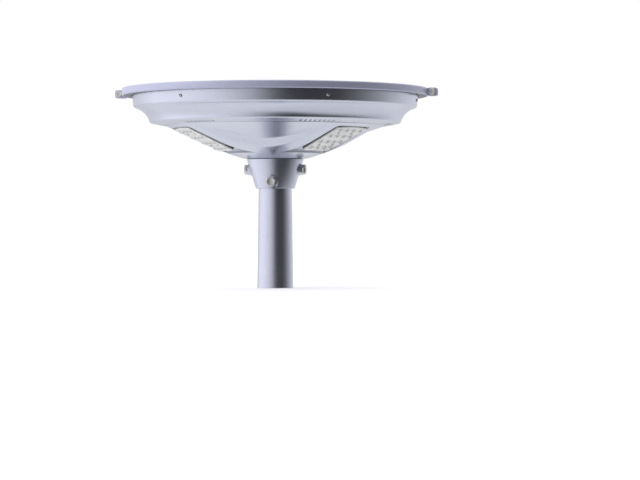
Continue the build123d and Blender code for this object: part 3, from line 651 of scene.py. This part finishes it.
def bowl_rim():
    """The bowl outside the dish, with walls round its vent slots, and painted shade in its groove."""
    profile = [(LEDGE_R, LEDGE_Z)] + bowl_rim_profile()
    # The half step puts a whole column of faces on the middle of each vent slot.
    points, faces = lathe(profile, RIM_COLUMNS, closed=False, start=-180 / RIM_COLUMNS)
    # Painted shade in the groove at the ledge's inner edge.
    marks = [np.full(RIM_COLUMNS, float(i in GROOVE_ROWS)) for i in range(len(profile))]
    low_row = [r for r, _ in profile].index(VENT_RADII[0])
    group_columns = RIM_COLUMNS // VENT_GROUPS
    slots = {(group * group_columns + offset) % RIM_COLUMNS for group in range(VENT_GROUPS)
             for offset in VENT_OFFSETS}
    faces = [face for i, face in enumerate(faces)
             if not (i // RIM_COLUMNS == low_row and i % RIM_COLUMNS in slots)]
    walls = []
    for column in sorted(slots):
        low, high = low_row * RIM_COLUMNS, (low_row + 1) * RIM_COLUMNS
        beside = (column + 1) % RIM_COLUMNS
        ring = [low + column, low + beside, high + beside, high + column]
        first = len(points) + len(walls)
        walls += [points[i] + (0, 0, WALL) for i in ring]
        faces += [(ring[i], ring[(i + 1) % 4], first + (i + 1) % 4, first + i) for i in range(4)]
    return (np.concatenate([points, walls]), faces), marks


def bowl_liner():
    """Plain inner face of the bowl, from the hub's hole to the flange."""
    foot = HUB_FLAT_Z + WALL
    profile = [(HUB_HOLE_R, HUB_FLAT_Z), (HUB_HOLE_R, foot)]
    profile += [(r, foot + (r - HUB_FLAT_R) * LINER_SLOPE) for r in (HUB_FLAT_R, *LINER_RINGS)]
    profile += [(198.0, 300.0), (226.0, 303.6), (228.5, 306.0), (238.0, 320.5), (254.0, 331.0)]
    profile += [(256.8, 334.0), (258.4, 351.0), (258.4, 355.0), (FLANGE_R - 0.6, FLANGE_Z + 2.05)]
    return lathe(profile, 200, closed=False)


def bowl():
    """Dish, rim and liner in one piece, with a hole for the button."""
    hole_x, hole_y = BUTTON_CIRCLE_R * np.array(outward(BUTTON_ANGLE)[:2])
    dish, dish_marks = bowl_dish()
    rim, rim_marks = bowl_rim()
    dish = without(dish, hole_x, hole_y, BUTTON_HOLE_R)
    liner = without(bowl_liner(), hole_x, hole_y, LINER_HOLE_R)
    made = piece("bowl_shell", *joined([dish, rim, liner]), MATERIALS["bowl_silver"], "head", "bowl_silver",
                 ["housing_bowl"], sharp=40.0)
    # The attribute groove holds painted shade on the recess edges and floors, and in the rim's groove.
    mark_points(made, "groove", np.concatenate(dish_marks + rim_marks))


# LED modules

PLATE_INNER = (-50.0, 36.0)
PLATE_OUTER = (43.4, 42.0)
PLATE_CROWN = 48.6
PLATE_CORNER = 4.0
PLATE_T = 3.0
LED_ROWS = (-36.6, -12.6, 11.4, 35.4)
LED_COLUMNS = (-28.5, -9.5, 9.5, 28.5)
SCREW_ROWS = (-24.6, 23.4)
SCREW_COLUMNS = (-19.0, 19.0)
DOME_R = 6.5
DOME_H = 2.3


def plate_outline():
    """Lens plate in its own plane, with its four corners rounded."""
    crown = arc((PLATE_OUTER[0], -PLATE_OUTER[1]), (PLATE_CROWN, 0), PLATE_OUTER, 13)
    corners = [(PLATE_INNER[0], PLATE_INNER[1]), (PLATE_INNER[0], -PLATE_INNER[1])]
    return rounded(crown + corners, PLATE_CORNER, 5)


def module_axes(angle):
    """Middle of a lens plate's face, its directions outward and across, and the way it faces."""
    tilt = math.atan(MODULE_SLOPE)
    out, up = np.array(outward(angle)), np.array([0, 0, 1.0])
    along = out * math.cos(tilt) + up * math.sin(tilt)
    normal = out * math.sin(tilt) - up * math.cos(tilt)
    return out * MODULE_R + up * MODULE_Z, along, np.cross(normal, along), normal


def lens_dome():
    """One lens standing on the plate, with a narrow foot round it, and its marks."""
    ball = (DOME_R**2 + DOME_H**2) / (2 * DOME_H)
    profile = [(DOME_R + 0.7, 0.02), (DOME_R + 0.1, 0.10)]
    profile += [(r, math.sqrt(ball**2 - r**2) - ball + DOME_H) for r in DOME_R * np.linspace(0.98, 0, 12)]
    points, faces = lathe(profile, 32, closed=False)
    return points, faces, np.clip(1.06 - np.hypot(points[:, 0], points[:, 1]) / DOME_R, 0.0, 1)


def lens_plate(name, angle):
    """Plate with chamfered edges and its group of lenses."""
    outline = plate_outline()
    levels = [(0.3, -PLATE_T), (0.0, -PLATE_T + 0.3), (0.0, -0.9), (0.1, -0.45), (0.35, -0.12), (0.8, 0.0)]
    rows = [np.column_stack([inset(outline, amount), np.full(len(outline), w)]) for amount, w in levels]
    parts = [capped(rows, last_first=True)]
    marks = [np.zeros(len(parts[0][0]))]
    dome_points, dome_faces, dome_marks = lens_dome()
    for u in LED_ROWS:
        for v in LED_COLUMNS:
            parts.append((dome_points + (u, v, 0), dome_faces))
            marks.append(dome_marks)
    points, faces = joined(parts)
    origin, along, across, normal = module_axes(angle)
    points = origin + points[:, :1] * along + points[:, 1:2] * across + points[:, 2:] * normal
    made = piece("lens_" + name, points, faces, MATERIALS["lens"], "head", "lens",
                 ["lens_plate_" + name], sharp=50.0)
    mark_points(made, "dome", np.concatenate(marks))


def plate_screws():
    """Four small screws between the lenses of each plate."""
    head = lathe([(0, 1.2), (1.0, 1.2), (1.05, 0.6), (1.3, 1.25), (2.1, 1.05), (2.6, 0.5), (2.65, 0.0)], 24,
                 closed=False)
    parts = []
    for angle in MODULE_ANGLES.values():
        origin, along, across, normal = module_axes(angle)
        parts += [placed(head, origin + u * along + v * across, normal)
                  for u in SCREW_ROWS for v in SCREW_COLUMNS]
    piece("module_screws", *joined(parts), MATERIALS["steel"], "head", "steel", ["plate_screws"])


# Collar, pole and bolts

COLLAR_FOOT_R = 35.3
COLLAR_FOOT_Z = 181.5
COLLAR_TOP_R = 52.0
COLLAR_TOP_Z = 234.8
COLLAR_SHELF_Z = 229.0
COLLAR_BORE_R = 32.8
# Name, angle, height, distance of the boss's face from the axis, and the boss's radius.
COLLAR_BOLTS = (
    ("right", 0, 216.0, 50.3, 10.0),
    ("left", 180, 216.0, 50.3, 10.0),
    ("front", 270, 193.4, 43.6, 11.0),
    ("rear", 90, 193.4, 43.6, 11.0),
)
BOSS_START = 34.5
BOLT_HOLE_R = 5.1
BOLT_TIP = 30.6
BOLT_R = 5.0
BOLT_PITCH = 1.5
BOLT_FLATS = 16.0
BOLT_HEAD_H = 6.6
POLE_FOOT_R = 33.2
POLE_R = 30.15
POLE_INNER_R = 27.15
POLE_TAPER_Z = 178.0
POLE_TOP_Z = 228.6
SOCKET_R = 30.1
SOCKET_DEPTH = 70.0
POLE_STEP = 12.0


def collar():
    """Tapered casting with a boss for each set bolt."""
    outer = [(COLLAR_FOOT_R, COLLAR_FOOT_Z), (COLLAR_TOP_R, COLLAR_TOP_Z), (HUB_HOLE_R, COLLAR_TOP_Z)]
    inner = [(HUB_HOLE_R, COLLAR_SHELF_Z), (COLLAR_BORE_R, COLLAR_SHELF_Z), (COLLAR_BORE_R, COLLAR_FOOT_Z)]
    parts = [lathe(rounded(outer + inner, 0.9), 192)]
    for _, angle, height, face, boss in COLLAR_BOLTS:
        side = [(boss + 1.6, BOSS_START), (boss + 0.9, face - 5.5), (boss + 0.15, face - 3.0)]
        edge = [(boss, face - 0.9), (boss - 0.25, face - 0.25), (boss - 0.9, face), (BOLT_HOLE_R + 0.2, face)]
        hole = [(BOLT_HOLE_R, face - 0.4), (BOLT_HOLE_R, BOSS_START)]
        parts.append(placed(lathe(side + edge + hole, 64), (0, 0, height), outward(angle)))
    piece("collar_casting", *joined(parts), MATERIALS["cast_silver"], "head", "cast_silver",
          ["pole_collar"], sharp=38.0)


def collar_bolts():
    """Set bolts with threads, from their heads to just short of the pole."""
    for name, angle, height, face, _ in COLLAR_BOLTS:
        head_points, head_faces = hex_head(BOLT_FLATS, BOLT_HEAD_H, 0.35)
        shank = thread(BOLT_R, BOLT_PITCH, BOLT_TIP, face + 0.2)
        bolt = joined([(head_points + (0, 0, face), head_faces), shank])
        bolt = placed(bolt, (0, 0, height), outward(angle), 0.2)
        piece("set_bolt_" + name + "_steel", *bolt, MATERIALS["steel"], "set_bolt_" + name, "steel",
              ["collar_bolt_" + name], sharp=30.0)


def pole():
    """Tapered tube with a socket in its foot, its long faces divided evenly."""
    outer = [(POLE_FOOT_R, 0.0), (POLE_R, POLE_TAPER_Z), (POLE_R, POLE_TOP_Z)]
    inner = [(POLE_INNER_R, POLE_TOP_Z), (POLE_INNER_R, SOCKET_DEPTH)]
    socket = [(SOCKET_R, SOCKET_DEPTH), (SOCKET_R, 0.0)]
    profile = rounded(outer + inner + socket, 0.6)
    dense = []
    for a, b in zip(profile, profile[1:] + profile[:1]):
        steps = max(1, int(np.linalg.norm(b - a) / POLE_STEP))
        dense += [a + (b - a) * t / steps for t in range(steps)]
    piece("pole_tube", *lathe(dense, 192), MATERIALS["pole_paint"], "pole", "pole_paint", ["pole_section"])


# Clamp ring

RING_R = 280.0
RING_WALL_R = 277.4
RING_LIP_R = 266.0
RING_FOOT_LIP_R = 263.2
RING_MEAN_R = 272.0
RING_FOOT_Z = 350.0
RING_TOP_Z = 363.6
RING_SHEET = 2.4
RING_SEAM = 4.5
RING_CORNER = 3.4
RING_ROWS = 361
LUG_BOX = ((278.6, 348.4), (298.0, 363.4))
LUG_CORNER = 4.5
LUG_BOLT = (289.5, 356.0)
LUG_FACE = 8.75
WASHER_R = 6.2
WASHER_BORE_R = 3.1
WASHER_T = 1.2
CLAMP_R = 3.0
CLAMP_PITCH = 1.0
CLAMP_FLATS = 10.0
CLAMP_HEAD_H = 4.0
CLAMP_END = 20.0
NUT_H = 5.0
NUT_BORE_R = 3.1


def ring_section():
    """C-shaped section of the ring, its two outer corners large."""
    outline = [(RING_FOOT_LIP_R, RING_FOOT_Z), (RING_R, RING_FOOT_Z), (RING_R, RING_TOP_Z),
               (RING_LIP_R, RING_TOP_Z), (RING_LIP_R, RING_TOP_Z - RING_SHEET),
               (RING_WALL_R, RING_TOP_Z - RING_SHEET), (RING_WALL_R, RING_FOOT_Z + RING_SHEET),
               (RING_FOOT_LIP_R, RING_FOOT_Z + RING_SHEET)]
    large = [corner[0] == RING_R for corner in outline]
    return np.array(rounded(outline, np.where(large, RING_CORNER, 0.7), np.where(large, 6, 2)))


def ring_lug(x_side, y_side):
    """Lug at one end of a ring half, from the seam outward."""
    (x_low, z_low), (x_high, z_high) = LUG_BOX
    lug = rounded([(x_low, z_low), (x_high, z_low), (x_high, z_high), (x_low, z_high)], LUG_CORNER, 5)
    rows = []
    for amount, y in ((0.5, RING_SEAM / 2), (0.0, 2.7), (0.0, 8.2), (0.5, LUG_FACE - 0.01)):
        moved = inset(lug, amount)
        rows.append(np.column_stack([x_side * moved[:, 0], np.full(len(lug), y_side * y), moved[:, 1]]))
    return capped(rows)


def ring_half(name, y_side):
    """Half of the clamp ring with a lug at each end, with painted shade on its underside inside the wall."""
    section = ring_section()
    gap = math.asin(RING_SEAM / 2 / RING_MEAN_R)
    rows = []
    for angle in np.linspace(gap, math.pi - gap, RING_ROWS):
        x, y = section[:, 0] * math.cos(angle), section[:, 0] * math.sin(angle)
        rows.append(np.column_stack([x, y_side * y, section[:, 1]]))
    points, faces = joined([capped(rows), ring_lug(-1, y_side), ring_lug(1, y_side)])
    made = piece("ring_" + name + "_band", points, faces, MATERIALS["ring_silver"], "ring_" + name,
                 "ring_silver", ["clamp_ring_" + name], sharp=35.0)
    # Painted shade under the ring, inside its wall, where the gap to the bowl's band lies.
    under = np.abs(points[:, 2] - RING_FOOT_Z) < 0.3
    within_wall = np.hypot(points[:, 0], points[:, 1]) < RING_WALL_R - 0.4
    mark_points(made, "groove", under & within_wall)


def clamp_fasteners():
    """Bolts, washers and nuts of the ring's lugs."""
    seat = LUG_FACE + WASHER_T
    x, z = LUG_BOLT
    for name, x_side in (("right", 1), ("left", -1)):
        end = (x_side * x, -seat, z)
        head = placed(hex_head(CLAMP_FLATS, CLAMP_HEAD_H, 0.2), end, (0, -1, 0), 0.3)
        shank = placed(thread(CLAMP_R, CLAMP_PITCH, 0.0, CLAMP_END + seat - 0.2, 28), end, (0, 1, 0))
        piece("clamp_screw_" + name + "_steel", *joined([head, shank]), MATERIALS["zinc"],
              "clamp_screw_" + name, "zinc", ["clamp_bolt_" + name], sharp=30.0)
    section = [(WASHER_BORE_R, 0), (WASHER_R, 0), (WASHER_R, WASHER_T), (WASHER_BORE_R, WASHER_T)]
    washer = lathe(rounded(section, 0.3), 48)
    for name, y_side in (("front", -1), ("rear", 1)):
        parts = [placed(washer, (side_x, y_side * LUG_FACE, z), (0, y_side, 0)) for side_x in (-x, x)]
        piece("lug_washers_" + name, *joined(parts), MATERIALS["zinc"], "ring_" + name, "zinc",
              ["clamp_washers_" + name])
    nut = hex_nut(CLAMP_FLATS, NUT_H, NUT_BORE_R)
    parts = [placed(nut, (side_x, seat, z), (0, 1, 0), 0.9) for side_x in (-x, x)]
    piece("lug_nuts", *joined(parts), MATERIALS["zinc"], "ring_rear", "zinc", ["clamp_nuts"])


# Small fittings

BAND_SCREW_R = 260.2
BAND_SCREW_Z = 340.5
BEZEL_R = 6.5
BEZEL_BORE_R = 4.06
CAP_R = 3.98
GLASS_R = 275.4
GLASS_Z = 358.5
GLASS_TOP_Z = 360.75
SCREEN_HALF_ARC = 10.5
SCREEN_R = (202.5, 219.5)
SCREEN_Z = (298.6, 301.8)
SCREEN_BARS = 19
SCREEN_ARCS = 12
BAR_HALF_WIDTH = 0.35
BAR_H = 0.5
ARC_WIDTH = 0.6
ARC_RISE = 0.1
ARC_H = 0.45
ARC_STEPS = 22


def band_screws():
    """Six small screws round the band that hold the equipment plate."""
    head = lathe([(0, 0.9), (1.1, 0.9), (1.2, 1.55), (1.9, 1.45), (2.7, 1.0), (3.15, 0.3), (3.15, 0.0)], 32,
                 closed=False)
    shank = lathe([(1.7, 0.0), (1.7, -11.6), (0, -11.6)], 24, closed=False)
    screw = joined([head, shank])
    parts = []
    for angle in range(0, 360, 60):
        out = outward(angle)
        parts.append(placed(screw, (BAND_SCREW_R * out[0], BAND_SCREW_R * out[1], BAND_SCREW_Z), out))
    piece("band_screw_heads", *joined(parts), MATERIALS["steel"], "head", "steel", ["band_screws"])


def button():
    """Power button and its bezel, square to the hub's slope."""
    x, y, _ = outward(BUTTON_ANGLE)
    slope = math.atan(HUB_SLOPE)
    normal = (math.sin(slope) * x, math.sin(slope) * y, -math.cos(slope))
    origin = (BUTTON_CIRCLE_R * x, BUTTON_CIRCLE_R * y, HUB_Z + (BUTTON_CIRCLE_R - HUB_R) * HUB_SLOPE)
    bezel = lathe(rounded([(BEZEL_BORE_R, -6.0), (4.8, -6.0), (4.8, 0.3), (BEZEL_R, 0.3), (BEZEL_R, 1.1),
                           (5.6, 1.9), (BEZEL_BORE_R, 1.9)], 0.3), 64)
    piece("switch_bezel", *placed(bezel, origin, normal), MATERIALS["rubber_black"], "head", "rubber_black",
          ["button_bezel"])
    cap = lathe([(0, 2.7), (1.2, 2.75), (2.2, 3.0), (3.0, 3.15), (3.6, 2.95), (3.95, 2.4), (CAP_R, 1.8),
                 (CAP_R, -3.9), (0, -3.9)], 64, closed=False)
    piece("switch_cap", *placed(cap, origin, normal), MATERIALS["rubber_black"], "button", "rubber_black",
          ["power_button"])


def panel():
    """Cover glass with a rounded edge."""
    glass = lathe([(0, GLASS_Z), (GLASS_R - 0.1, GLASS_Z), (GLASS_R, GLASS_TOP_Z - 0.65),
                   (GLASS_R - 0.2, GLASS_TOP_Z - 0.25), (GLASS_R - 0.7, GLASS_TOP_Z), (0, GLASS_TOP_Z)], 240,
                  closed=False)
    piece("cover_glass", *glass, MATERIALS["glass"], "head", "glass", ["solar_glass"])


def screen_bar(angle):
    """Straight wire of a vent screen, outward across the slots."""
    out = np.array(outward(angle))
    side = np.array([-out[1], out[0], 0]) * BAR_HALF_WIDTH
    up = np.array([0, 0, BAR_H])
    points = []
    for r, z in zip(SCREEN_R, SCREEN_Z):
        middle = out * r + (0, 0, z)
        points += [middle - side, middle + side, middle + side + up, middle - side + up]
    return capped([points[:4], points[4:]], last_first=True)


def screen_arc(middle, r, z):
    """Curved wire of a vent screen, along the slots' group."""
    angles = np.radians(np.linspace(middle - SCREEN_HALF_ARC, middle + SCREEN_HALF_ARC, ARC_STEPS))
    ring = np.column_stack([np.cos(angles), np.sin(angles), np.zeros(ARC_STEPS)])
    outer_r, outer_z = r + ARC_WIDTH, z + ARC_RISE
    section = ((r, z), (outer_r, outer_z), (outer_r, outer_z + ARC_H), (r, z + ARC_H))
    rows = [ring * wire_r + (0, 0, wire_z) for wire_r, wire_z in section]
    return np.concatenate(rows), grid_faces(len(rows), ARC_STEPS, wrap_rows=True, wrap_columns=False)


def vent_mesh():
    """Woven screen behind each vent group: two sets of fine wires."""
    parts = []
    for group in range(VENT_GROUPS):
        middle = group * 360 / VENT_GROUPS
        for angle in np.linspace(middle - SCREEN_HALF_ARC, middle + SCREEN_HALF_ARC, SCREEN_BARS):
            parts.append(screen_bar(angle))
        for i in range(SCREEN_ARCS):
            parts.append(screen_arc(middle, SCREEN_R[0] + 0.5 + i * 1.45, SCREEN_Z[0] + 0.15 + i * 0.27))
    piece("vent_wires", *joined(parts), MATERIALS["mesh"], "head", "mesh", ["vent_screens"])


# Studio

FLOOR_RADIUS_M = 30.0
FLOOR_Z_M = -0.0003
# Brightness of the room by bearing from the lamp, 0 towards the camera and positive to the camera's right.
WALL_TINT = (0.985, 0.99, 1.03)
WALL_LEVELS = (
    (-180, 0.80), (-150, 0.88), (-135, 1.05), (-112, 1.38), (-85, 1.30), (-65, 1.18), (-48, 1.05),
    (-31, 0.86), (-15, 0.55), (-2, 0.17), (8, 0.06), (32, 0.05), (52, 0.06), (66, 0.16), (86, 0.38),
    (110, 0.74), (140, 0.98), (160, 0.90), (180, 0.80),
)
CEILING_TINT = (0.99, 1.00, 1.02)
CEILING_LEVELS = ((-180, 1.06), (-130, 1.10), (-60, 1.05), (0, 0.95), (60, 0.90), (130, 0.96), (180, 1.06))
# The ceiling takes over from the walls between these steepnesses. Away from the camera it starts lower.
CEILING_EDGE = (0.70, 0.95)
STEEPER_FROM = 0.06
STEEPER_GAIN = 2.8


def studio_floor():
    """Plain pale floor, clear from below, that neither lights the lamp nor is reflected in it."""
    bpy.ops.mesh.primitive_circle_add(
        vertices=128, radius=FLOOR_RADIUS_M, fill_type="NGON", location=(0, 0, FLOOR_Z_M)
    )
    floor = bpy.context.object
    floor.name = "studio_floor"
    material, tree, shader = nodes_of("floor_white")
    paper = ramp(tree, noise(tree, 3.0, 3.0), [(0.3, (0.90, 0.90, 0.905)), (0.7, (0.93, 0.93, 0.93))])
    tree.links.new(paper, shader.inputs["Base Color"])
    tree.links.new(spread(tree, noise(tree, 6.0, 2.0), 0.75, 0.85), shader.inputs["Roughness"])
    shader.inputs["Emission Color"].default_value = (1, 1, 1, 1)
    shader.inputs["Emission Strength"].default_value = 0.35
    behind = add(tree, "ShaderNodeNewGeometry")
    clear = add(tree, "ShaderNodeBsdfTransparent")
    surface = mixed_shader(tree, behind.outputs["Backfacing"], shader.outputs[0], clear.outputs[0])
    tree.links.new(surface, tree.nodes["Material Output"].inputs["Surface"])
    floor.data.materials.append(material)
    floor.visible_glossy = False
    floor.visible_diffuse = False


def levels_round(tree, share, tint, levels):
    """Colour round the room from (bearing, brightness) pairs."""
    return ramp(tree, share, [(0.5 + bearing / 360, tinted(tint, level)) for bearing, level in levels])


def studio_room():
    """Room of light and dark walls that the lamp reflects. The camera itself sees plain white."""
    world = bpy.data.worlds.new("studio_world")
    bpy.context.scene.world = world
    world.use_nodes = True
    tree = world.node_tree
    where = add(tree, "ShaderNodeTexCoord")
    turn = add(tree, "ShaderNodeMapping")
    turn.inputs["Rotation"].default_value = (0, 0, math.radians(90 - CAMERA_AZIMUTH))
    tree.links.new(where.outputs["Generated"], turn.inputs["Vector"])
    split = add(tree, "ShaderNodeSeparateXYZ")
    tree.links.new(turn.outputs["Vector"], split.inputs[0])
    bearing = calculated(tree, "ARCTAN2", split.outputs[1], split.outputs[0])
    share = share_of(tree, bearing, -math.pi, math.pi)
    walls = levels_round(tree, share, WALL_TINT, WALL_LEVELS)
    ceiling = levels_round(tree, share, CEILING_TINT, CEILING_LEVELS)
    off_axis = calculated(tree, "ABSOLUTE", calculated(tree, "SUBTRACT", share, 0.5))
    past_edge = calculated(tree, "MAXIMUM", calculated(tree, "SUBTRACT", off_axis, STEEPER_FROM), 0.0)
    gain = calculated(tree, "ADD", calculated(tree, "MULTIPLY", past_edge, STEEPER_GAIN), 1.0)
    steep = calculated(tree, "MULTIPLY", calculated(tree, "ABSOLUTE", split.outputs[2]), gain)
    room = mixed_colour(tree, share_of(tree, steep, *CEILING_EDGE, "SMOOTHSTEP"), walls, ceiling)
    background = tree.nodes["Background"]
    tree.links.new(room, background.inputs["Color"])
    background.inputs["Strength"].default_value = 1.0
    sky = add(tree, "ShaderNodeBackground")
    sky.inputs["Color"].default_value = (1, 1, 1, 1)
    sky.inputs["Strength"].default_value = 1.0
    seen = add(tree, "ShaderNodeLightPath")
    surface = mixed_shader(tree, seen.outputs["Is Camera Ray"], background.outputs[0], sky.outputs[0])
    tree.links.new(surface, tree.nodes["World Output"].inputs["Surface"])


def lamp(name, location, target, size, power, colour=(1, 1, 1)):
    """Square area light, in metres and watts."""
    data = bpy.data.lights.new(name, "AREA")
    data.size = size
    data.energy = power
    data.color = colour
    made = bpy.data.objects.new(name, data)
    made.location = location
    made.rotation_euler = (Vector(target) - Vector(location)).to_track_quat("-Z", "Y").to_euler()
    bpy.context.scene.collection.objects.link(made)


def studio():
    """Floor, room and two soft lamps."""
    bpy.context.scene.view_settings.view_transform = "Standard"
    studio_floor()
    studio_room()
    lamp("key_left", (-2.6, -1.6, 1.9), (0, 0, 0.3), 2.2, 12, (0.97, 0.98, 1.0))
    lamp("top_soft", (0, 0.3, 3.2), (0, 0, 0.3), 2.6, 12)


def camera():
    """Camera a little below the lamp's bowl, turned and tipped slightly off its axis."""
    turn = math.radians(CAMERA_AZIMUTH)
    data = bpy.data.cameras.new("camera")
    data.sensor_width = 36.0
    data.lens = CAMERA_LENS
    data.clip_end = 200
    made = bpy.data.objects.new("camera", data)
    x, y = CAMERA_DISTANCE * math.sin(turn), -CAMERA_DISTANCE * math.cos(turn)
    made.location = Vector((x, y, CAMERA_HEIGHT)) * MM
    made.rotation_euler = (math.radians(90 - CAMERA_PITCH), 0, turn - math.radians(CAMERA_YAW))
    bpy.context.scene.collection.objects.link(made)
    bpy.context.scene.camera = made


camera()
dress_cad_nodes()
bowl()
for module_name, module_angle in MODULE_ANGLES.items():
    lens_plate(module_name, module_angle)
plate_screws()
vent_mesh()
collar()
collar_bolts()
pole()
ring_half("front", -1)
ring_half("rear", 1)
clamp_fasteners()
band_screws()
button()
panel()
studio()
